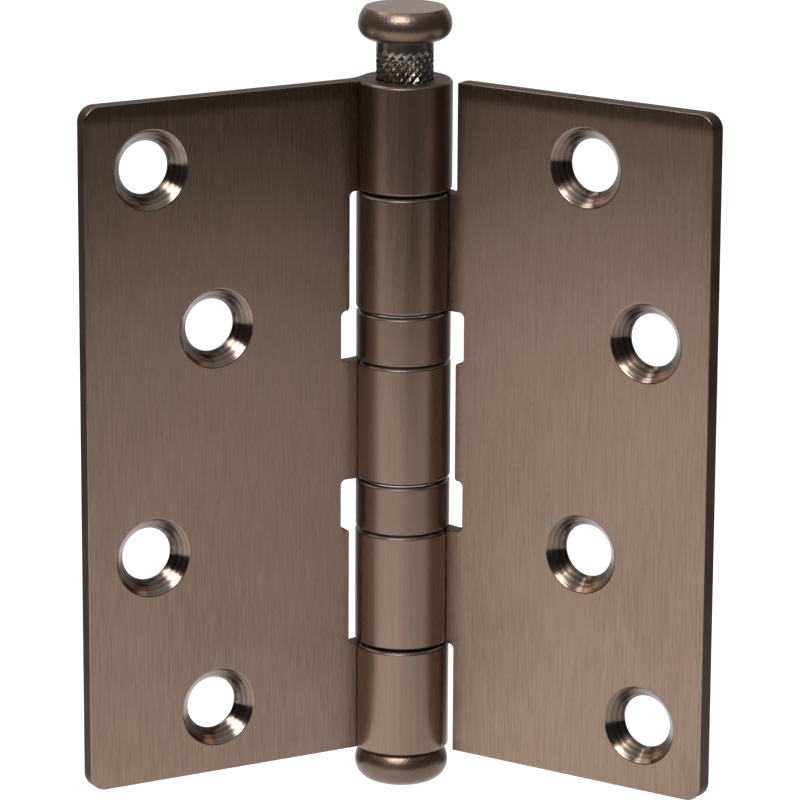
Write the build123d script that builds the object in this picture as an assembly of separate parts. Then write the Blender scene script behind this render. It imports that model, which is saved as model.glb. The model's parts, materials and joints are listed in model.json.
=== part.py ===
from build123d import *
import math
import os

# Ball bearing butt hinge, millimetres.
# The origin is the middle of the frame leaf's screw holes, on the back face that meets the door frame.
# The frame leaf runs along X, its front faces -Y, and the pin is upright along Z.

# Leaves: one square sheet format, each half measured from the pin to its outer edge
LEAF_HEIGHT = 89.0
LEAF_REACH = 44.5
SHEET = 2.4
CLOSED_GAP = 2.4
LEAF_CORNER = 2.1
OPENING_ANGLE = 118.0

# Knuckles: the sheet is bent back behind the leaf and rolled round the pin
BORE = 7.5
SEAM = 0.15
SWAGE_RADIUS = 5.0
KNUCKLE_EDGE = 0.35
MIDDLE_KNUCKLE = 15.7
INNER_KNUCKLE = 15.4
KNUCKLE_GAP = 0.2
KNUCKLE_CLEARANCE = 1.05
BEARING_CLEARANCE = 2.25
GAP_CORNER = 0.7
STEP_CORNER = 0.45

# Countersunk screw holes, staggered in two columns
HOLE_DIAMETER = 6.8
COUNTERSINK_DIAMETER = 10.3
COUNTERSINK_ANGLE = 82.0
OUTER_COLUMN = 35.4
INNER_COLUMN = 26.3
OUTER_ROW = 35.8
INNER_ROW = 14.5

# Loose pin, standing a little out of its seat
PIN_RAISED = 5.2
PIN_DIAMETER = 7.32
PIN_LENGTH = 78.5
PIN_TIP = 1.6
HEAD_DIAMETER = 12.0
HEAD_FLAT = 10.4
HEAD_LIP = 9.7
HEAD_HEIGHT = 4.05
HEAD_SHOULDER = 2.2
NECK_LENGTH = 1.1
KNURL_DIAMETER = 7.4
KNURL_LENGTH = 8.4
KNURL_RUNOUT = 0.3

# Button plug that closes the bottom knuckle
PLUG_DIAMETER = 12.2
PLUG_HEIGHT = 4.5
PLUG_LAND = 11.5
PLUG_BELLY = 2.4
PLUG_FOOT = 8.0
PLUG_SHANK = 6.0
PLUG_LEAD = 0.3
PRESS_ALLOWANCE = 0.01

# Ball thrust bearings between the knuckles
BEARING_HEIGHT = 6.75
CUP_DIAMETER = 12.2
CUP_WALL = 0.45
CUP_EDGE = 0.3
CUP_PLAY = 0.2
RACE_BORE = 7.64
RACE_PLAY = 0.08
RACE_SPACING = 0.8
TRACK_PLAY = 0.03
BALL_DIAMETER = 1.2
BALL_COUNT = 8
BALL_SIDES = 8
BALL_RINGS = 3
CAGE_HEIGHT = 0.5
CAGE_PLAY = 0.08
POCKET_PLAY = 0.02

# Flats that stand for each rounded edge of a turned piece
ROUND_STEPS = 4

# How far a cutter runs past the metal, and how near two lengths are to count as the same
CUT_MARGIN = 1.0
CLOSE = 0.001

# Values that follow from the sizes above
front_offset = CLOSED_GAP / 2
back_offset = front_offset + SHEET
bore_radius = BORE / 2
barrel_radius = bore_radius + SHEET
half_height = LEAF_HEIGHT / 2
middle_end = MIDDLE_KNUCKLE / 2
inner_start = middle_end + BEARING_HEIGHT
inner_end = inner_start + INNER_KNUCKLE
outer_start = inner_end + KNUCKLE_GAP
knuckle_wall = barrel_radius + KNUCKLE_CLEARANCE
bearing_wall = barrel_radius + BEARING_CLEARANCE
bearing_mid = middle_end + BEARING_HEIGHT / 2
cup_inside = CUP_DIAMETER / 2 - CUP_WALL
pitch_radius = (RACE_BORE / 2 + cup_inside) / 2
track_depth = BALL_DIAMETER / 2 * math.sqrt(2) + TRACK_PLAY
pin_axis = Location(((OUTER_COLUMN + INNER_COLUMN) / 2, -back_offset, 0))
door_turn = Location((0, 0, 0), (0, 0, OPENING_ANGLE - 180))


def turned(*outline):
    """A turned piece: a closed outline in radius and height, spun about the pin.

    The outline is made of points and of arcs. An arc is turned as a few flats,
    and its end is the point or arc that follows it.
    """
    points = []
    for item in outline:
        if isinstance(item, tuple):
            points.append(item)
        else:
            points += [item @ (step / ROUND_STEPS) for step in range(ROUND_STEPS)]
    return revolve(Plane.XZ * make_face(Polyline(*points, close=True)), Axis.Z)


def leaf_section():
    """Section of leaf and knuckle: flat sheet, reverse bend behind it, roll, and the seam where it closes."""
    tip = front_offset - SEAM
    bend_height = back_offset + SWAGE_RADIUS
    bend_reach = barrel_radius + SWAGE_RADIUS
    bend_x = math.sqrt(bend_reach ** 2 - bend_height ** 2)
    bend_angle = math.degrees(math.atan2(bend_height, bend_x))
    inner_start_angle = math.degrees(math.asin(front_offset / bore_radius))
    inner_tip_angle = math.degrees(math.asin(tip / bore_radius))
    outer_tip_angle = math.degrees(math.asin(tip / barrel_radius))
    eye = CenterArc((0, 0), bore_radius, inner_start_angle, 360 + inner_tip_angle - inner_start_angle)
    roll = CenterArc((0, 0), barrel_radius, bend_angle, 360 + outer_tip_angle - bend_angle)
    swage = CenterArc((bend_x, bend_height), SWAGE_RADIUS, 180 + bend_angle, 90 - bend_angle)
    front = Line((LEAF_REACH, front_offset), eye @ 0)
    seam = Line(eye @ 1, roll @ 1)
    back = Polyline(swage @ 1, (LEAF_REACH, back_offset), (LEAF_REACH, front_offset))
    return make_face([front, eye, seam, roll, swage, back])


def gap(*steps):
    """Cutter for the room that a leaf leaves for the other leaf's knuckles and the bearings.

    Each step is its bottom, its top and the distance of its wall from the pin.
    """
    far = barrel_radius + CUT_MARGIN
    lowest, highest = steps[0][0], steps[-1][1]
    deepest = max(wall for bottom, top, wall in steps)
    points = [(-far, lowest)]
    for bottom, top, wall in steps:
        points += [(wall, bottom), (wall, top)]
    points.append((-far, highest))

    def corners(outline, nose):
        """Corners of the walls: the noses that point into the gap, or the hollow ones."""
        walls = outline.vertices().filter_by(lambda v: v.X > 0 and abs(v.Y) < half_height)
        return [v for v in walls if nose == (
            v.X < deepest - CLOSE and lowest + CLOSE < v.Y < highest - CLOSE)]

    outline = make_face(Polyline(*points, close=True))
    noses = corners(outline, nose=True)
    if noses:
        outline = fillet(noses, STEP_CORNER)
    outline = fillet(corners(outline, nose=False), GAP_CORNER)
    return extrude(Plane.XZ * outline, far, both=True)


def screw_hole():
    """Cutter for one countersunk hole, opening towards the front face at the origin."""
    hole, mouth = HOLE_DIAMETER / 2, COUNTERSINK_DIAMETER / 2
    depth = (mouth - hole) / math.tan(math.radians(COUNTERSINK_ANGLE / 2))
    outline = make_face(Polyline(
        (0, 0), (mouth, 0),
        (hole, depth), (hole, SHEET + CUT_MARGIN), (0, SHEET + CUT_MARGIN), close=True))
    return Rot(-90, 0, 0) * revolve(Plane.XZ * outline, Axis.Z)


def leaf(gaps, holes):
    """One leaf along +X with its knuckles about the pin, its front facing -Y."""
    body = extrude(leaf_section(), half_height, both=True)
    for cutter in gaps:
        body -= cutter
    body = fillet(body.edges().filter_by(Axis.Y).group_by(Axis.X)[-1], LEAF_CORNER)
    circles = body.edges().filter_by(GeomType.CIRCLE)
    rims = circles.filter_by(lambda e: abs(e.radius - barrel_radius) < CLOSE)
    body = chamfer(rims, KNUCKLE_EDGE)
    for column, row in holes:
        body -= Pos(column, front_offset, row) * screw_hole()
    return body


def frame_leaf():
    """The leaf with the top, middle and bottom knuckles."""
    gaps = [
        gap((middle_end, inner_start, bearing_wall), (inner_start, outer_start, knuckle_wall)),
        gap((-outer_start, -inner_start, knuckle_wall), (-inner_start, -middle_end, bearing_wall)),
    ]
    holes = [(OUTER_COLUMN, OUTER_ROW), (INNER_COLUMN, INNER_ROW),
             (OUTER_COLUMN, -INNER_ROW), (INNER_COLUMN, -OUTER_ROW)]
    return mirror(leaf(gaps, holes), Plane.YZ)


def door_leaf():
    """The leaf with the two knuckles in between."""
    past = half_height + CUT_MARGIN
    gaps = [
        gap((inner_end, past, knuckle_wall)),
        gap((-inner_start, -middle_end, bearing_wall), (-middle_end, middle_end, knuckle_wall),
            (middle_end, inner_start, bearing_wall)),
        gap((-past, -inner_end, knuckle_wall)),
    ]
    holes = [(INNER_COLUMN, OUTER_ROW), (OUTER_COLUMN, INNER_ROW),
             (INNER_COLUMN, -INNER_ROW), (OUTER_COLUMN, -OUTER_ROW)]
    return door_turn * leaf(gaps, holes)


def hinge_pin():
    """Loose pin: button head, plain neck, raised knurl band and a pointed shank."""
    under = half_height + PIN_RAISED
    top = under + HEAD_HEIGHT
    widest = top - HEAD_SHOULDER
    neck_end = under - NECK_LENGTH
    knurl_end = neck_end - KNURL_LENGTH
    tip = under - PIN_LENGTH
    shank, knurl = PIN_DIAMETER / 2, KNURL_DIAMETER / 2
    crown, rim, lip = HEAD_FLAT / 2, HEAD_DIAMETER / 2, HEAD_LIP / 2
    return turned(
        (0, top), TangentArc((rim, widest), (crown, top), tangent=(0, 1)).reversed(),
        TangentArc((rim, widest), (lip, under), tangent=(0, -1)),
        (lip, under), (shank, under), (shank, neck_end),
        (knurl, neck_end - KNURL_RUNOUT), (knurl, knurl_end + KNURL_RUNOUT), (shank, knurl_end),
        (shank, tip + PIN_TIP), (shank - PIN_TIP, tip), (0, tip))


def bottom_plug():
    """Button plug: shank pressed into the bottom knuckle, rounded head below it."""
    seat = -half_height
    widest = seat - PLUG_BELLY
    bottom = seat - PLUG_HEIGHT
    end = seat + PLUG_SHANK
    shank = bore_radius - PRESS_ALLOWANCE
    land, rim, foot = PLUG_LAND / 2, PLUG_DIAMETER / 2, PLUG_FOOT / 2
    return turned(
        (0, bottom), (0, end), (shank - PLUG_LEAD, end), (shank, end - PLUG_LEAD), (shank, seat),
        TangentArc((rim, widest), (land, seat), tangent=(0, 1)).reversed(),
        TangentArc((rim, widest), (foot, bottom), tangent=(0, -1)), (foot, bottom))


def track(face, side):
    """Outline points of the groove that the balls run in, on a flat at that height."""
    reach = track_depth - abs(face)
    return [(pitch_radius + reach, face), (pitch_radius, side * track_depth), (pitch_radius - reach, face)]


def bearing_cup():
    """Turned cup that shows between the knuckles: it sits on the knuckle below and has the lower track."""
    bottom = -BEARING_HEIGHT / 2
    top = BEARING_HEIGHT / 2 - CUP_PLAY
    floor = -RACE_SPACING / 2
    bore, outer = RACE_BORE / 2, CUP_DIAMETER / 2
    return turned(
        (bore, bottom), (outer - CUP_EDGE, bottom), (outer, bottom + CUP_EDGE), (outer, top - CUP_EDGE),
        (outer - CUP_EDGE, top), (cup_inside, top), (cup_inside, floor), *track(floor, -1), (bore, floor))


def bearing_race():
    """Ring inside the cup that carries the knuckle above and has the upper track."""
    top = BEARING_HEIGHT / 2
    face = RACE_SPACING / 2
    bore, outer = RACE_BORE / 2, cup_inside - RACE_PLAY
    return turned((bore, top), (outer, top), (outer, face), *track(face, 1), (bore, face))


def ball_place(index):
    """Where one ball stands on the pitch circle."""
    return Rot(0, 0, 360 * index / BALL_COUNT) * Pos(pitch_radius, 0, 0)


def ball():
    """One ball, with few faces because so many repeat."""
    radius = BALL_DIAMETER / 2
    tilts = [math.pi * ((i + 1) / (BALL_RINGS + 1) - 0.5) for i in range(BALL_RINGS)]
    rings = [Pos(0, 0, radius * math.sin(tilt)) * RegularPolygon(radius * math.cos(tilt), BALL_SIDES)
             for tilt in tilts]
    return loft([Vertex(0, 0, -radius), *rings, Vertex(0, 0, radius)], ruled=True)


def ball_cage():
    """Flat ring with a pocket for each ball."""
    bore = RACE_BORE / 2 + CAGE_PLAY
    outer = cup_inside - RACE_PLAY - CAGE_PLAY
    half = CAGE_HEIGHT / 2
    cage = turned((bore, -half), (outer, -half), (outer, half), (bore, half))
    pocket = extrude(RegularPolygon(BALL_DIAMETER / 2 + POCKET_PLAY, BALL_SIDES), CAGE_HEIGHT, both=True)
    for index in range(BALL_COUNT):
        cage -= ball_place(index) * pocket
    return cage


def bearing(name, height):
    """One thrust bearing as named pieces at its height on the pin."""
    place = Pos(0, 0, height)
    group = {
        f"{name}_bearing_cup": place * bearing_cup(),
        f"{name}_bearing_race": place * bearing_race(),
        f"{name}_bearing_cage": place * ball_cage(),
    }
    for index in range(BALL_COUNT):
        group[f"{name}_bearing_ball_{index + 1}"] = place * ball_place(index) * ball()
    return group


pieces = {
    "frame_leaf": frame_leaf(),
    "door_leaf": door_leaf(),
    "hinge_pin": hinge_pin(),
    "bottom_plug": bottom_plug(),
}
pieces.update(bearing("upper", bearing_mid))
pieces.update(bearing("lower", -bearing_mid))

os.makedirs("parts", exist_ok=True)
for name, piece in pieces.items():
    export_step(pin_axis * piece, f"parts/{name}.step")
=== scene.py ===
import json
import math

import bmesh
import bpy
from mathutils import Matrix, Vector

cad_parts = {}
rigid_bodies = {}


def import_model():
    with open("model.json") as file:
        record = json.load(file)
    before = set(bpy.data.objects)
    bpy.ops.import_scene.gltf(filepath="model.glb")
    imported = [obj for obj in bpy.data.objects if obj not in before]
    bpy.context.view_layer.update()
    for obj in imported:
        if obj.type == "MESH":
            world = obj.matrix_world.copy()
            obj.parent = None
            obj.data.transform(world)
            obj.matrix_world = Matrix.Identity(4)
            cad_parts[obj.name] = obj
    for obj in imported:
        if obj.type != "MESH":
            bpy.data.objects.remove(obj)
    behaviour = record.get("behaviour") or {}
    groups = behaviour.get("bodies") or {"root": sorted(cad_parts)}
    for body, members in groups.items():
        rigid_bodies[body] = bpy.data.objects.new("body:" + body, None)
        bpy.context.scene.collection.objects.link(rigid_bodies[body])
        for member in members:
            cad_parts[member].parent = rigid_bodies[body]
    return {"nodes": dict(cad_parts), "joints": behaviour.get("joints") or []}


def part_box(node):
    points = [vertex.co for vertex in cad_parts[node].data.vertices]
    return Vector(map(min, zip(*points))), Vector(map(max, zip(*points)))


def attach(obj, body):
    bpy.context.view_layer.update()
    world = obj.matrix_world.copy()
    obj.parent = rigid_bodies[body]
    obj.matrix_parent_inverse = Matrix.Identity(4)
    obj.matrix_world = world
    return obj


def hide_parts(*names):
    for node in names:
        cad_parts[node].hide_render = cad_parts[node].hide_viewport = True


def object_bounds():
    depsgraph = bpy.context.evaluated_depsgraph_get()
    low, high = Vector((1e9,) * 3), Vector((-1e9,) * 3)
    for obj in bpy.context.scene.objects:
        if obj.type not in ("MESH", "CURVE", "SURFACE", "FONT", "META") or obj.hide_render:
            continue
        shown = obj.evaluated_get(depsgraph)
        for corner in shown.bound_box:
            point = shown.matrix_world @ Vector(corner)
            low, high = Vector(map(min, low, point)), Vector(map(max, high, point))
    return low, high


# Looks of a ball bearing butt hinge in brushed bronze plate, in metres.
# Every solid is replaced by a finished copy of the same form: leaves, pin, plug and bearings.

# An empty scene, then the fixed frame
for leftover in list(bpy.data.objects):
    bpy.data.objects.remove(leftover)
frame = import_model()
cad_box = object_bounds()

MM = 0.001
UP = Vector((0.0, 0.0, 1.0))
joints = {joint["name"]: joint for joint in frame["joints"]}
pin_axis = Vector(joints["leaf_swing"]["pos_m"])

# How far the door leaf has swung from closed to its place in the photograph
opening = math.radians(-joints["leaf_swing"]["range_deg"][0])

# Leaves and knuckles
BARREL_RADIUS = 6.15 * MM
BARREL_MARGIN = 0.05 * MM
LEAF_REACH = 44.5 * MM
LEAF_HALF_HEIGHT = 44.5 * MM
EDGE_ROUND = 0.16 * MM

# Screw holes: columns from the pin, rows from mid height, and the countersinks' rims
OUTER_COLUMN = 35.4 * MM
INNER_COLUMN = 26.3 * MM
OUTER_ROW = 35.8 * MM
INNER_ROW = 14.5 * MM
COUNTERSINK_RADIUS = 5.15 * MM
FRAME_HOLES = [(OUTER_COLUMN, OUTER_ROW), (INNER_COLUMN, INNER_ROW),
               (OUTER_COLUMN, -INNER_ROW), (INNER_COLUMN, -OUTER_ROW)]
DOOR_HOLES = [(INNER_COLUMN, OUTER_ROW), (OUTER_COLUMN, INNER_ROW),
              (INNER_COLUMN, -INNER_ROW), (OUTER_COLUMN, -OUTER_ROW)]

# Rolled edges of the sheet: width of the fall, how softly it starts, and its slope
EDGE_ROLL_WIDTH = 1.9 * MM
EDGE_ROLL_SOFT = 0.8 * MM
EDGE_ROLL_SLOPE = 0.034

# Pin
SHANK_RADIUS = 3.66 * MM
PIN_TIP = 1.6 * MM
NECK_LENGTH = 1.1 * MM
HEAD_HEIGHT = 4.05 * MM
HEAD_SHOULDER = 2.2 * MM
HEAD_FLAT_RADIUS = 5.2 * MM
HEAD_LIP_RADIUS = 4.85 * MM
HEAD_SEAT_GAP = 0.03 * MM

# Knurl: its band, its diamonds, and the mesh steps in one diamond
KNURL_RADIUS = 3.7 * MM
KNURL_LENGTH = 8.4 * MM
KNURL_RUNOUT = 0.3 * MM
KNURL_DEPTH = 0.3 * MM
KNURL_PITCH = 1.38 * MM
KNURL_COLUMNS = 20
KNURL_STEPS = 16

# Knurl cuts: width as a share of the pitch, depth of the weaker set, depth left at the band's top
KNURL_CUT_WIDTH = 0.85
KNURL_WEAKER_SET = 0.7
KNURL_TOP_DEPTH = 0.1

# Uneven wear of the knurl: largest share of its depth, waves round the pin, radians in each pitch up
KNURL_WEAR = 0.3
KNURL_WEAR_ROUND = 3.0
KNURL_WEAR_UP = 2.1

# Plug
PLUG_SHANK = 6.0 * MM
PLUG_SHANK_RADIUS = 3.74 * MM
PLUG_LEAD = 0.3 * MM
PLUG_BELLY = 2.1 * MM
PLUG_LAND_RADIUS = 5.3 * MM
PLUG_FOOT_RADIUS = 4.0 * MM
PLUG_SEGMENTS = 160

# Small bevel where a turned flat meets its side
TURNED_EDGE = 0.08 * MM

# Bearings: rounded edges, ball size, cuts that divide a ball's facets, and what carries each ring
CUP_ROUND = 0.12 * MM
RACE_ROUND = 0.05 * MM
CAGE_ROUND = 0.03 * MM
BALL_RADIUS = 0.6 * MM
BALL_CUTS = 3
CUP_BODY = {"upper": "frame", "lower": "door"}
RACE_BODY = {"upper": "door", "lower": "frame"}

# Mesh work: welding distance, slack in comparing heights, and steps of a rounded edge and of an arc
WELD = 0.002 * MM
HEIGHT_SLACK = 1e-9
ROUND_SEGMENTS = 2
ARC_STEPS = 12

# Faces that meet within the first angle are joined into one, and past the second their edge is rounded
FLAT_ANGLE = math.radians(0.5)
SHARP_ANGLE = math.radians(24.0)

# Shading: angles above which an edge stays a crease, and how much large faces steer the normals
SOLID_CREASE = math.radians(40.0)
LATHE_CREASE = math.radians(35.0)
BALL_CREASE = math.radians(60.0)
LARGE_FACE_WEIGHT = 80

# Material slots of a leaf, of the pin and of a cup
PLATE, KNUCKLE, CONE, CUT, RIM = range(5)
TURNED, KNURLED, HEAD_TOP_PAINTED_LIGHT = range(3)
CUP_WALL, CUP_RIM = range(2)

# A rim's normal points at least this much up or down, and rims are darkened as painted shade in the seams
RIM_TILT = 0.3

# The normal of a cut edge points at most this much to the front or the back
CUT_FACING = 0.3

# The normal of a flat points at least this much straight to one side
FLAT_FACING = 0.95

# Noise cells per metre along X, Y and Z
LEAF_LINES = (3800.0, 3800.0, 180.0)
KNUCKLE_LINES = (1800.0, 1800.0, 60.0)
PLATE_CLOUDS = (55.0, 55.0, 40.0)
PLATE_SPECK = (9000.0, 9000.0, 9000.0)
SATIN_CLOUDS = (160.0, 160.0, 110.0)
SATIN_SPECK = (3800.0, 3800.0, 3800.0)
CONE_CHATTER = (700.0, 700.0, 700.0)
FLOOR_MOTTLE = (6.0, 6.0, 6.0)

# Turning rings: noise cells per metre outwards from a hole's axis, and the row of noise they follow
CONE_RINGS = (3600.0, 1.0, 1.0)
RING_ROW = (0.4, 0.7)

# Stretches of noise that are spread over a whole range of tones
NOISE_WIDE = (0.25, 0.75)
NOISE_MIDDLE = (0.3, 0.7)
NOISE_NARROW = (0.35, 0.65)

# Share of the brush lines in a plate's tone and of the rings in a countersink's, and their heights
LINE_SHARE = 0.7
LINE_HEIGHT = 0.004 * MM
RING_SHARE = 0.8
RING_HEIGHT = 0.03 * MM

# Direction of the brush lines, tipped a little so that level faces have one too
BRUSH = (0.01, 0.0, 1.0)

# Colours that more than one thing has
WHITE = (1.0, 1.0, 1.0)
BRONZE_DARK = (0.225, 0.158, 0.124)
BRONZE_LIGHT = (0.285, 0.204, 0.162)

# Countersinks: colours, roughness, and how far the rings draw a highlight out
CONE_DARK = (0.10, 0.077, 0.065)
CONE_LIGHT = (0.28, 0.224, 0.19)
CONE_ROUGH = (0.16, 0.26)
CONE_ANISOTROPY = 0.7

# Floor: how far the white table lies below the hinge
FLOOR_DROP = 35.0 * MM

# Its outline in millimetres to the right of the pin and towards the camera, wide in front of the hinge
FLOOR_OUTLINE = [(-140.0, -950.0), (140.0, -950.0), (75.0, -70.0), (545.0, -50.0), (545.0, 222.0),
                 (350.0, 282.0), (110.0, 330.0), (-60.0, 395.0), (-330.0, 325.0), (-470.0, 238.0),
                 (-680.0, 250.0), (-680.0, -50.0), (-75.0, -70.0)]

# Paint of the table, and how much of its white is seen without shading
FLOOR_DARK = (0.84, 0.84, 0.84)
FLOOR_LIGHT = (0.88, 0.88, 0.88)
FLOOR_ROUGH = 0.7
FLOOR_WHITE = 0.6

# Painted shade on the table, a painted shadow of the hinge in front on the right and a painted falloff of
# light far out on the left: tone, where each begins and ends from the pin, and its share out there
FLOOR_PAINTED_SHADE = (0.68, 0.68, 0.68)
SHADE_AWAY = (-60.0 * MM, 50.0 * MM)
SHADE_RIGHT = (-90.0 * MM, 150.0 * MM)
SHADE_FADE = (200.0 * MM, 400.0 * MM)
SHADE_FADE_END = 0.3
SHADE_LEFT = (-60.0 * MM, -430.0 * MM)
SHADE_LEFT_END = 0.45

# Camera, as the photograph was taken
CAMERA_AZIMUTH = math.radians(-28.87)
CAMERA_ELEVATION = math.radians(14.84)
CAMERA_ROLL = math.radians(0.31)
CAMERA_DISTANCE = 639.8 * MM
CAMERA_TARGET = pin_axis + Vector((-0.315, 0.246, 2.14)) * MM
CAMERA_LENS = 222.6

# Room: brightness in front of the hinge, behind it and overhead
ROOM_FRONT = 0.055
ROOM_BACK = 0.68
ROOM_ABOVE = 0.6

# Cosines of the angles at which the wall behind and the ceiling begin and are fully bright
BACK_SPREAD = (0.55, 0.92)
ABOVE_SPREAD = (0.5, 0.9)

# Lamps: their distance from the hinge, and the colour of the key lamp
LAMP_DISTANCE = 1100.0 * MM
WARM_LIGHT = (1.0, 0.96, 0.91)


class Nodes:
    """A node tree, with short calls that add nodes and link them."""

    def __init__(self, tree):
        self.tree = tree
        tree.nodes.clear()

    def feed(self, socket, value):
        """Link a socket to another node's output, or set its plain value."""
        if isinstance(value, bpy.types.NodeSocket):
            self.tree.links.new(value, socket)
        else:
            socket.default_value = value

    def node(self, kind, *values, **settings):
        """Add a node, set its options and feed its first inputs in order."""
        made = self.tree.nodes.new(kind)
        for option, choice in settings.items():
            setattr(made, option, choice)
        for socket, value in zip(made.inputs, values):
            self.feed(socket, value)
        return made

    def math(self, operation, *values):
        """One number worked out from others."""
        return self.node("ShaderNodeMath", *values, operation=operation).outputs["Value"]

    def vector(self, operation, *values):
        """A vector worked out from others, or a number for a length or a dot product."""
        made = self.node("ShaderNodeVectorMath", *values, operation=operation)
        result = "Value" if operation in ("LENGTH", "DOT_PRODUCT") else "Vector"
        return made.outputs[result]

    def remap(self, value, low, high, to_low=0.0, to_high=1.0, smooth=False):
        """A value carried over from one range to another."""
        kind = "SMOOTHSTEP" if smooth else "LINEAR"
        made = self.node("ShaderNodeMapRange", value, low, high, to_low, to_high, interpolation_type=kind)
        return made.outputs["Result"]


class Graph(Nodes):
    """The node tree of one material."""

    def __init__(self, name):
        self.material = bpy.data.materials.new(name)
        self.material.use_nodes = True
        super().__init__(self.material.node_tree)
        self.output = self.node("ShaderNodeOutputMaterial")
        self.shader = self.node("ShaderNodeBsdfPrincipled")
        self.feed(self.output.inputs["Surface"], self.shader.outputs["BSDF"])
        self.place = self.node("ShaderNodeTexCoord").outputs["Object"]
        self.normal = self.node("ShaderNodeNewGeometry").outputs["Normal"]

    def set(self, **inputs):
        """Feed the shader's own sockets by name, with _ for a space."""
        for name, value in inputs.items():
            self.feed(self.shader.inputs[name.replace("_", " ")], value)

    def noise(self, cells, detail=3.0, roughness=0.5, place=None):
        """Noise in cells per metre along X, Y and Z, centred on one half."""
        stretched = self.vector("MULTIPLY", place or self.place, cells)
        made = self.node("ShaderNodeTexNoise")
        self.feed(made.inputs["Vector"], stretched)
        self.feed(made.inputs["Scale"], 1.0)
        self.feed(made.inputs["Detail"], detail)
        self.feed(made.inputs["Roughness"], roughness)
        return made.outputs["Fac"]

    def weighted(self, first, second, share):
        """Sum of two numbers, of which the first has this share and the second the rest."""
        rest = self.math("MULTIPLY", second, 1.0 - share)
        return self.math("ADD", self.math("MULTIPLY", first, share), rest)

    def blend(self, factor, low, high):
        """Colour between two colours."""
        made = self.node("ShaderNodeMix", data_type="RGBA")
        self.feed(made.inputs["Factor"], factor)
        self.feed(made.inputs["A"], (*low, 1.0))
        self.feed(made.inputs["B"], (*high, 1.0))
        return made.outputs["Result"]

    def bump(self, height, distance, over=None):
        """Surface tilted by a height, on top of another bump if one is given."""
        made = self.node("ShaderNodeBump")
        self.feed(made.inputs["Strength"], 1.0)
        self.feed(made.inputs["Distance"], distance)
        self.feed(made.inputs["Height"], height)
        if over:
            self.feed(made.inputs["Normal"], over)
        return made.outputs["Normal"]


def rolled_edge(graph):
    """The slight fall of a stamped sheet to its top and bottom, and half as wide to its outer edge."""
    offset = graph.vector("SUBTRACT", graph.place, tuple(pin_axis))
    level = graph.vector("MULTIPLY", offset, (1.0, 1.0, 0.0))
    out = graph.math("SUBTRACT", graph.vector("LENGTH", level), LEAF_REACH - EDGE_ROLL_WIDTH / 2)
    rise = graph.math("ABSOLUTE", graph.node("ShaderNodeSeparateXYZ", graph.place).outputs["Z"])
    up = graph.math("SUBTRACT", rise, LEAF_HALF_HEIGHT - EDGE_ROLL_WIDTH)
    falls = [graph.math("SMOOTH_MAX", past, 0.0, EDGE_ROLL_SOFT) for past in (out, up)]
    height = graph.math("MULTIPLY", graph.math("ADD", *falls), -1.0)
    return graph.bump(height, EDGE_ROLL_SLOPE)


def plate(name, dark, light, rough, lines, anisotropy, speckle, rolled=False):
    """Bronze plate over upright brush lines, with cloudy tone and fine speckle between the lines."""
    graph = Graph(name)
    streaks = graph.noise(lines, detail=4.0, roughness=0.65)
    clouds = graph.noise(PLATE_CLOUDS)
    speck = graph.noise(PLATE_SPECK, detail=2.0)
    tone = graph.weighted(streaks, clouds, LINE_SHARE)
    across = graph.vector("CROSS_PRODUCT", graph.normal, BRUSH)
    relief = graph.math("ADD", streaks, graph.math("MULTIPLY", speck, speckle))
    sheet_form = rolled_edge(graph) if rolled else None
    graph.set(Base_Color=graph.blend(graph.remap(tone, *NOISE_MIDDLE), dark, light),
              Metallic=1.0,
              Roughness=graph.remap(tone, *NOISE_WIDE, *rough),
              Anisotropic=anisotropy,
              Tangent=graph.vector("NORMALIZE", across),
              Normal=graph.bump(relief, LINE_HEIGHT, sheet_form))
    return graph.material


def turned_cone(name, centres, along):
    """Bright countersinks with uneven turning rings round each screw hole of a leaf."""
    graph = Graph(name)
    distances = []
    for centre in centres:
        offset = graph.vector("SUBTRACT", graph.place, tuple(centre))
        run = graph.vector("DOT_PRODUCT", offset, tuple(along))
        rise = graph.vector("DOT_PRODUCT", offset, tuple(UP))
        in_sheet = graph.node("ShaderNodeCombineXYZ", run, rise, 0.0).outputs["Vector"]
        distances.append(graph.vector("LENGTH", in_sheet))
    nearest = distances[0]
    for distance in distances[1:]:
        nearest = graph.math("MINIMUM", nearest, distance)
    outward = graph.node("ShaderNodeCombineXYZ", nearest, *RING_ROW).outputs["Vector"]
    rings = graph.noise(CONE_RINGS, detail=2.0, place=outward)
    tone = graph.weighted(rings, graph.noise(CONE_CHATTER), RING_SHARE)
    axis = graph.node("ShaderNodeCombineXYZ", *along.cross(UP)).outputs["Vector"]
    graph.set(Base_Color=graph.blend(graph.remap(tone, *NOISE_NARROW), CONE_DARK, CONE_LIGHT),
              Metallic=1.0,
              Roughness=graph.remap(tone, *NOISE_MIDDLE, *CONE_ROUGH),
              Anisotropic=CONE_ANISOTROPY,
              Tangent=axis,
              Normal=graph.bump(rings, RING_HEIGHT))
    return graph.material


def satin(name, dark, light, rough, grain, metal=1.0):
    """Smooth plated steel with faint clouds and a fine satin grain of a given height."""
    graph = Graph(name)
    clouds = graph.noise(SATIN_CLOUDS, detail=4.0, roughness=0.6)
    speck = graph.noise(SATIN_SPECK, detail=2.0)
    graph.set(Base_Color=graph.blend(graph.remap(clouds, *NOISE_MIDDLE), dark, light),
              Metallic=metal,
              Roughness=graph.remap(clouds, *NOISE_MIDDLE, *rough),
              Normal=graph.bump(speck, grain))
    return graph.material


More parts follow.
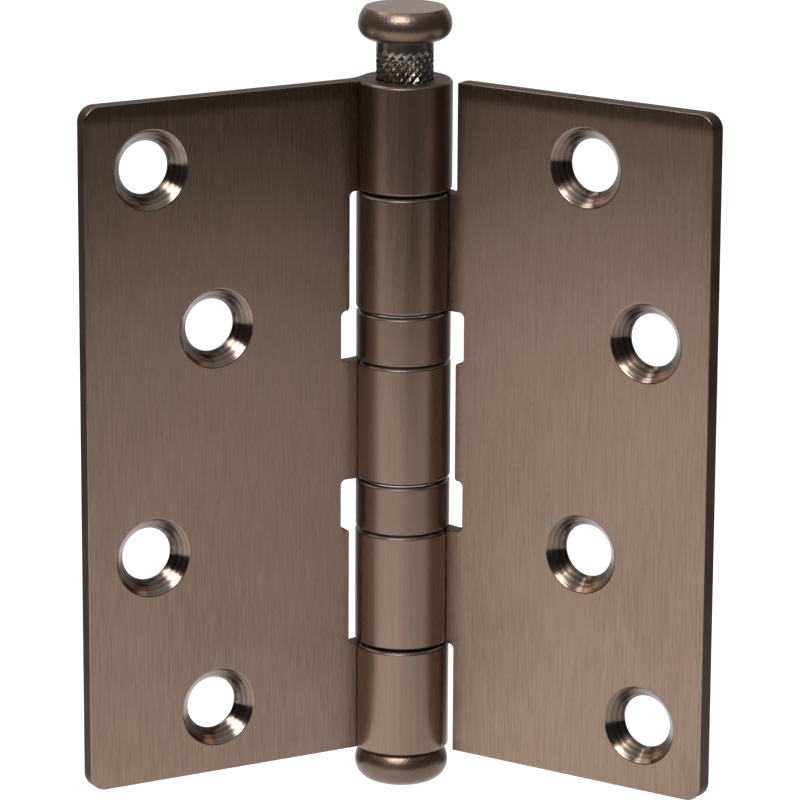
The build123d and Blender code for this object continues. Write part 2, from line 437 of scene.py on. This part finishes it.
def floor_paint(name):
    """Plain white table: seen white by the camera and in reflections, and still taking soft shadows.

    It has painted shade: a painted shadow of the hinge in front of it on the right, and a painted falloff
    of light far out on the left.
    """
    graph = Graph(name)
    right, away = graph.node("ShaderNodeSeparateXYZ", graph.place).outputs[:2]
    # Painted shadow of the hinge on the table, in front of it on the right
    front = graph.remap(away, *SHADE_AWAY, 1.0, 0.0, smooth=True)
    near = graph.remap(right, *SHADE_RIGHT, smooth=True)
    far = graph.remap(right, *SHADE_FADE, 1.0, SHADE_FADE_END, smooth=True)
    corner = graph.math("MULTIPLY", front, graph.math("MULTIPLY", near, far))
    # Painted falloff of light far out on the left
    left = graph.remap(right, *SHADE_LEFT, 0.0, SHADE_LEFT_END)
    # The table's white with its painted shade
    white = graph.blend(graph.math("MAXIMUM", corner, left), WHITE, FLOOR_PAINTED_SHADE)
    paint = graph.blend(graph.noise(FLOOR_MOTTLE, detail=2.0), FLOOR_DARK, FLOOR_LIGHT)
    graph.set(Base_Color=graph.vector("MULTIPLY", paint, white), Roughness=FLOOR_ROUGH)
    path = graph.node("ShaderNodeLightPath").outputs
    seen = graph.math("MAXIMUM", path["Is Camera Ray"], path["Is Glossy Ray"])
    seen = graph.math("MAXIMUM", seen, path["Is Transmission Ray"])
    glow = graph.node("ShaderNodeEmission", white, 1.0)
    both = graph.node("ShaderNodeMixShader", graph.math("MULTIPLY", seen, FLOOR_WHITE),
                      graph.shader.outputs["BSDF"], glow.outputs["Emission"])
    graph.feed(graph.output.inputs["Surface"], both.outputs["Shader"])
    return graph.material


def new_object(name, data):
    """A new object in the scene."""
    made = bpy.data.objects.new(name, data)
    bpy.context.scene.collection.objects.link(made)
    return made


def add_piece(mesh, body, slot, node, *materials):
    """Show a finished mesh as the piece that stands for a solid and moves with its body."""
    for material in materials:
        mesh.materials.append(material)
    piece = new_object(f"finished_{node}", mesh)
    even = piece.modifiers.new("even_shading", "WEIGHTED_NORMAL")
    even.keep_sharp = True
    even.weight = LARGE_FACE_WEIGHT
    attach(piece, body)
    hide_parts(node)


def welded(node):
    """A solid's own mesh, open for editing, welded and with flat neighbours joined."""
    bm = bmesh.new()
    bm.from_mesh(frame["nodes"][node].data)
    bmesh.ops.remove_doubles(bm, verts=bm.verts, dist=WELD)
    bmesh.ops.dissolve_limit(bm, angle_limit=FLAT_ANGLE, verts=bm.verts, edges=bm.edges)
    return bm


def smooth_mesh(bm, name, crease):
    """Mesh of an edited form, smooth but for creases where faces meet at more than the angle."""
    mesh = bpy.data.meshes.new(name)
    bm.to_mesh(mesh)
    bm.free()
    mesh.polygons.foreach_set("use_smooth", [True] * len(mesh.polygons))
    mesh.set_sharp_from_angle(angle=crease)
    return mesh


def rounded(node, width):
    """A solid's own mesh with every sharp edge rounded."""
    bm = welded(node)
    sharp = [edge for edge in bm.edges
             if len(edge.link_faces) == 2 and edge.calc_face_angle(0.0) > SHARP_ANGLE]
    bmesh.ops.bevel(bm, geom=sharp, offset=width, offset_type="OFFSET", segments=ROUND_SEGMENTS,
                    profile=0.5, affect="EDGES", clamp_overlap=True)
    bmesh.ops.remove_doubles(bm, verts=bm.verts, dist=WELD)
    for face in bm.faces:
        face.material_index = 0
    return smooth_mesh(bm, node, SOLID_CREASE)


def leaf_slot(centre, normal, front, holes):
    """Which of a leaf's materials a face takes, from its place and the way it faces."""
    to_front = abs(normal.dot(front))
    for hole in holes:
        offset = centre - hole
        radius = (offset - front * offset.dot(front)).length
        if radius < COUNTERSINK_RADIUS and to_front < FLAT_FACING:
            return CONE
    from_pin = (centre - pin_axis).xy.length
    if (from_pin > BARREL_RADIUS and to_front < CUT_FACING) or abs(normal.z) > FLAT_FACING:
        return CUT
    if from_pin < BARREL_RADIUS + BARREL_MARGIN:
        # Knuckle rims take the darker painted shade of the seams
        return RIM if abs(normal.z) > RIM_TILT else KNUCKLE
    return PLATE


def leaf_piece(node, body, angle, holes):
    """One leaf: brushed plate, satin knuckles with rims darkened as painted shade in the seams, turned
    countersinks and cut edges.
    """
    along = Vector((math.cos(angle), math.sin(angle), 0.0))
    front = UP.cross(along)
    centres = [pin_axis + along * column + UP * row for column, row in holes]
    mesh = rounded(node, EDGE_ROUND)
    for polygon in mesh.polygons:
        polygon.material_index = leaf_slot(polygon.center, polygon.normal, front, centres)
    cone = turned_cone(f"{node}_countersink", centres, along)
    add_piece(mesh, body, "leaf_finish", node, leaf_plate, knuckle_satin, cone, cut_edge, rim_painted_shade)


def round_over(rim, widest, edge, end):
    """Points of an arc that is upright at the rim of a turned piece and runs to its edge at the end."""
    run, rise = rim - edge, abs(end - widest)
    radius = (run * run + rise * rise) / (2 * run)
    sweep = math.asin(min(1.0, rise / radius))
    side = 1.0 if end > widest else -1.0
    turns = [sweep * step / ARC_STEPS for step in range(ARC_STEPS + 1)]
    return [(rim - radius * (1 - math.cos(t)), widest + side * radius * math.sin(t)) for t in turns]


def lathe(name, profile, segments, relief=None):
    """Mesh spun about the pin from (radius, height) points, closed on the axis at both ends."""
    bm = bmesh.new()
    rings = []
    for radius, height in profile:
        if radius == 0.0:
            rings.append([bm.verts.new((pin_axis.x, pin_axis.y, height))])
            continue
        ring = []
        for index in range(segments):
            turn = 2 * math.pi * index / segments
            reach = radius + (relief(turn, height) if relief else 0.0)
            ring.append(bm.verts.new((pin_axis.x + reach * math.cos(turn),
                                      pin_axis.y + reach * math.sin(turn), height)))
        rings.append(ring)
    for lower, upper in zip(rings, rings[1:]):
        for index in range(segments):
            following = (index + 1) % segments
            corners = [lower[index % len(lower)], lower[following % len(lower)],
                       upper[following % len(upper)], upper[index % len(upper)]]
            bm.faces.new(list(dict.fromkeys(corners)))
    bmesh.ops.recalc_face_normals(bm, faces=bm.faces)
    return smooth_mesh(bm, name, LATHE_CREASE)


def pin_piece():
    """Loose pin: button head, plain neck, cut diamond knurl and pointed shank."""
    low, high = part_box("hinge_pin")
    top, tip = high.z, low.z
    head_radius = (high.x - low.x) / 2
    widest = top - HEAD_SHOULDER
    under = top - HEAD_HEIGHT + HEAD_SEAT_GAP
    neck_end = under - NECK_LENGTH
    knurl_end = neck_end - KNURL_LENGTH
    band_top = neck_end - KNURL_RUNOUT
    band_end = knurl_end + KNURL_RUNOUT

    def knurl(turn, height):
        """Depth of the crossed V cuts that leave diamond points."""
        if not band_end - HEIGHT_SLACK <= height <= band_top + HEIGHT_SLACK:
            return 0.0
        across = turn * KNURL_COLUMNS / (2 * math.pi)
        up = (height - band_end) / KNURL_PITCH
        fade = min(1.0, (band_top - height) / KNURL_PITCH + KNURL_TOP_DEPTH)
        wave = math.sin(KNURL_WEAR_ROUND * turn + KNURL_WEAR_UP * up)
        wear = 1 - KNURL_WEAR * (1 - wave) / 2
        from_cut = [abs((across + sign * up) % 1.0 - 0.5) * 2 for sign in (1, -1)]
        weaker, stronger = (1 - min(away / KNURL_CUT_WIDTH, 1.0) for away in from_cut)
        return -KNURL_DEPTH * fade * wear * max(KNURL_WEAKER_SET * weaker, stronger)

    rows = round((band_top - band_end) / KNURL_PITCH * KNURL_STEPS)
    band = [(KNURL_RADIUS, band_end + (band_top - band_end) * row / rows) for row in range(rows + 1)]
    profile = [(0.0, tip), (SHANK_RADIUS - PIN_TIP, tip), (SHANK_RADIUS, tip + PIN_TIP),
               (SHANK_RADIUS, knurl_end), *band, (SHANK_RADIUS, neck_end), (SHANK_RADIUS, under),
               *reversed(round_over(head_radius, widest, HEAD_LIP_RADIUS, under)),
               *round_over(head_radius, widest, HEAD_FLAT_RADIUS, top - TURNED_EDGE)[1:],
               (HEAD_FLAT_RADIUS - TURNED_EDGE, top), (0.0, top)]
    mesh = lathe("hinge_pin", profile, KNURL_COLUMNS * KNURL_STEPS, knurl)
    for polygon in mesh.polygons:
        if knurl_end < polygon.center.z < under:
            polygon.material_index = KNURLED
        else:
            # The head's top flat takes the lighter cup bronze: painted light on the top face
            polygon.material_index = HEAD_TOP_PAINTED_LIGHT if polygon.normal.z > FLAT_FACING else TURNED
    add_piece(mesh, "pin", "turned_finish", "hinge_pin", turned_satin, knurl_steel, cup_satin)


def plug_piece():
    """Button plug: pressed shank, rounded shoulder and a round belly with a flat foot."""
    low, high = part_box("bottom_plug")
    bottom, end = low.z, high.z
    rim = (high.x - low.x) / 2
    seat = end - PLUG_SHANK
    widest = seat - PLUG_BELLY
    profile = [(0.0, bottom), *reversed(round_over(rim, widest, PLUG_FOOT_RADIUS, bottom)),
               *round_over(rim, widest, PLUG_LAND_RADIUS, seat - TURNED_EDGE)[1:],
               (PLUG_LAND_RADIUS - TURNED_EDGE, seat), (PLUG_SHANK_RADIUS, seat),
               (PLUG_SHANK_RADIUS, end - PLUG_LEAD), (PLUG_SHANK_RADIUS - PLUG_LEAD, end), (0.0, end)]
    mesh = lathe("bottom_plug", profile, PLUG_SEGMENTS)
    add_piece(mesh, "frame", "turned_finish", "bottom_plug", turned_satin)


def cup_piece(node, body):
    """One bearing cup: satin wall with rims darkened as painted shade in the seams."""
    mesh = rounded(node, CUP_ROUND)
    for polygon in mesh.polygons:
        # Sloping rims take the darker painted shade of the seams
        sloping = RIM_TILT < abs(polygon.normal.z) < FLAT_FACING
        polygon.material_index = CUP_RIM if sloping else CUP_WALL
    add_piece(mesh, body, "turned_finish", node, cup_satin, rim_painted_shade)


def ball_piece(node, body):
    """One bearing ball: the faceted solid divided and pushed out to a true sphere."""
    bm = welded(node)
    bmesh.ops.subdivide_edges(bm, edges=bm.edges, cuts=BALL_CUTS, use_grid_fill=True)
    low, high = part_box(node)
    centre = (low + high) / 2
    for vert in bm.verts:
        vert.co = centre + (vert.co - centre).normalized() * BALL_RADIUS
    add_piece(smooth_mesh(bm, node, BALL_CREASE), body, "bearing_steel", node, ball_chrome)


def bearing_pieces(side):
    """One thrust bearing: cup, race, cage and balls."""
    cup, race, cage = (f"{side}_bearing_{part}" for part in ("cup", "race", "cage"))
    balls_body = f"{side}_balls"
    cup_piece(cup, CUP_BODY[side])
    add_piece(rounded(race, RACE_ROUND), RACE_BODY[side], "bearing_steel", race, race_steel)
    add_piece(rounded(cage, CAGE_ROUND), balls_body, "cage_brass", cage, cage_brass)
    for node in frame["nodes"]:
        if node.startswith(f"{side}_bearing_ball_"):
            ball_piece(node, balls_body)


def direction(azimuth, elevation):
    """Unit vector turned right from straight in front of the frame leaf, and lifted from level."""
    level = math.cos(elevation)
    return Vector((math.sin(azimuth) * level, -math.cos(azimuth) * level, math.sin(elevation)))


def aimed(toward):
    """Turn of a camera or lamp that stands in this direction and looks back at the hinge."""
    return (-toward).to_track_quat("-Z", "Y")


def studio_floor():
    """The white table, turned to the camera."""
    corners = [(right * MM, -near * MM, 0.0) for right, near in FLOOR_OUTLINE]
    mesh = bpy.data.meshes.new("studio_floor")
    mesh.from_pydata(corners, [], [range(len(corners))])
    mesh.materials.append(floor_paint("floor_paint"))
    floor = new_object("studio_floor", mesh)
    floor.location = (pin_axis.x, pin_axis.y, cad_box[0].z - FLOOR_DROP)
    floor.rotation_euler = (0.0, 0.0, CAMERA_AZIMUTH)


def photo_camera(toward):
    """The camera, in the direction that the photograph was taken from."""
    lens = bpy.data.cameras.new("photo_camera")
    lens.lens = CAMERA_LENS
    camera = new_object("photo_camera", lens)
    camera.location = CAMERA_TARGET + toward * CAMERA_DISTANCE
    facing = aimed(toward).to_matrix().to_4x4()
    camera.rotation_euler = (facing @ Matrix.Rotation(CAMERA_ROLL, 4, "Z")).to_euler()
    bpy.context.scene.camera = camera


def softbox(name, azimuth, elevation, size, power, colour=WHITE, mirrored=True):
    """Area lamp aimed at the hinge, from degrees left of the camera and above the horizon."""
    lamp = bpy.data.lights.new(name, "AREA")
    lamp.shape = "RECTANGLE"
    lamp.size, lamp.size_y = size
    lamp.energy = power
    lamp.color = colour
    toward = direction(CAMERA_AZIMUTH - math.radians(azimuth), math.radians(elevation))
    light = new_object(name, lamp)
    light.location = pin_axis + toward * LAMP_DISTANCE
    light.rotation_euler = aimed(toward).to_euler()
    light.visible_camera = False
    light.visible_glossy = mirrored


def studio_world(toward):
    """Dim room, with a paler wall where a level face mirrors the camera's view, and a paler ceiling."""
    world = bpy.data.worlds.new("studio")
    bpy.context.scene.world = world
    world.use_nodes = True
    graph = Nodes(world.node_tree)
    view = graph.node("ShaderNodeTexCoord").outputs["Generated"]
    turned_back = graph.vector("DOT_PRODUCT", view, (-toward.x, -toward.y, toward.z))
    turned_up = graph.vector("DOT_PRODUCT", view, tuple(UP))
    behind = graph.remap(turned_back, *BACK_SPREAD, ROOM_FRONT, ROOM_BACK, smooth=True)
    above = graph.remap(turned_up, *ABOVE_SPREAD, ROOM_FRONT, ROOM_ABOVE, smooth=True)
    background = graph.node("ShaderNodeBackground", (*WHITE, 1.0), graph.math("MAXIMUM", behind, above))
    output = graph.node("ShaderNodeOutputWorld")
    graph.feed(output.inputs["Surface"], background.outputs["Background"])


# Materials of the leaves
leaf_plate = plate("leaf_plate", dark=(0.203, 0.143, 0.1125), light=(0.333, 0.239, 0.191),
                   rough=(0.235, 0.325), lines=LEAF_LINES, anisotropy=0.9, speckle=0.25, rolled=True)
knuckle_satin = plate("knuckle_satin", dark=BRONZE_DARK, light=BRONZE_LIGHT,
                      rough=(0.24, 0.32), lines=KNUCKLE_LINES, anisotropy=0.5, speckle=0.4)
cut_edge = satin("cut_edge", dark=(0.066, 0.044, 0.034), light=(0.11, 0.073, 0.057),
                 rough=(0.5, 0.6), grain=0.01 * MM)
# Rims at the knuckle and cup ends, darker and greyer than the satin: painted shade in the seams between
# parts
rim_painted_shade = satin("rim_painted_shade", dark=(0.10, 0.085, 0.075), light=(0.145, 0.124, 0.11),
                  rough=(0.3, 0.4), grain=0.01 * MM)

# Materials of the pin and the plug
turned_satin = satin("turned_satin", dark=(0.145, 0.104, 0.083), light=(0.19, 0.138, 0.111),
                     rough=(0.24, 0.34), grain=0.034 * MM, metal=0.88)
knurl_steel = satin("knurl_steel", dark=(0.2, 0.174, 0.155), light=(0.31, 0.275, 0.25),
                    rough=(0.2, 0.3), grain=0.008 * MM)

# Materials of the bearings
cup_satin = satin("cup_satin", dark=BRONZE_DARK, light=BRONZE_LIGHT, rough=(0.27, 0.36), grain=0.01 * MM)
race_steel = satin("race_steel", dark=(0.55, 0.55, 0.56), light=(0.66, 0.66, 0.67),
                   rough=(0.12, 0.2), grain=0.002 * MM)
cage_brass = satin("cage_brass", dark=(0.72, 0.52, 0.22), light=(0.82, 0.62, 0.30),
                   rough=(0.25, 0.35), grain=0.003 * MM)
ball_chrome = satin("ball_chrome", dark=(0.6, 0.6, 0.61), light=(0.68, 0.68, 0.69),
                    rough=(0.05, 0.1), grain=0.0005 * MM)

# Pieces
leaf_piece("frame_leaf", "frame", math.pi, FRAME_HOLES)
leaf_piece("door_leaf", "door", opening - math.pi, DOOR_HOLES)
pin_piece()
plug_piece()
bearing_pieces("upper")
bearing_pieces("lower")

# Floor, camera and room
toward_eye = direction(CAMERA_AZIMUTH, CAMERA_ELEVATION)
studio_floor()
photo_camera(toward_eye)
studio_world(toward_eye)
bpy.context.scene.view_settings.view_transform = "Standard"

# Lamps, of which the largest lights the table and isn't mirrored in the metal
softbox("key_softbox", azimuth=16.0, elevation=44.0, size=(0.64, 0.38), power=10.0, colour=WARM_LIGHT)
softbox("side_softbox", azimuth=108.0, elevation=57.0, size=(0.9, 0.26), power=3.0)
softbox("table_softbox", azimuth=120.0, elevation=60.0, size=(1.5, 1.2), power=19.0, mirrored=False)
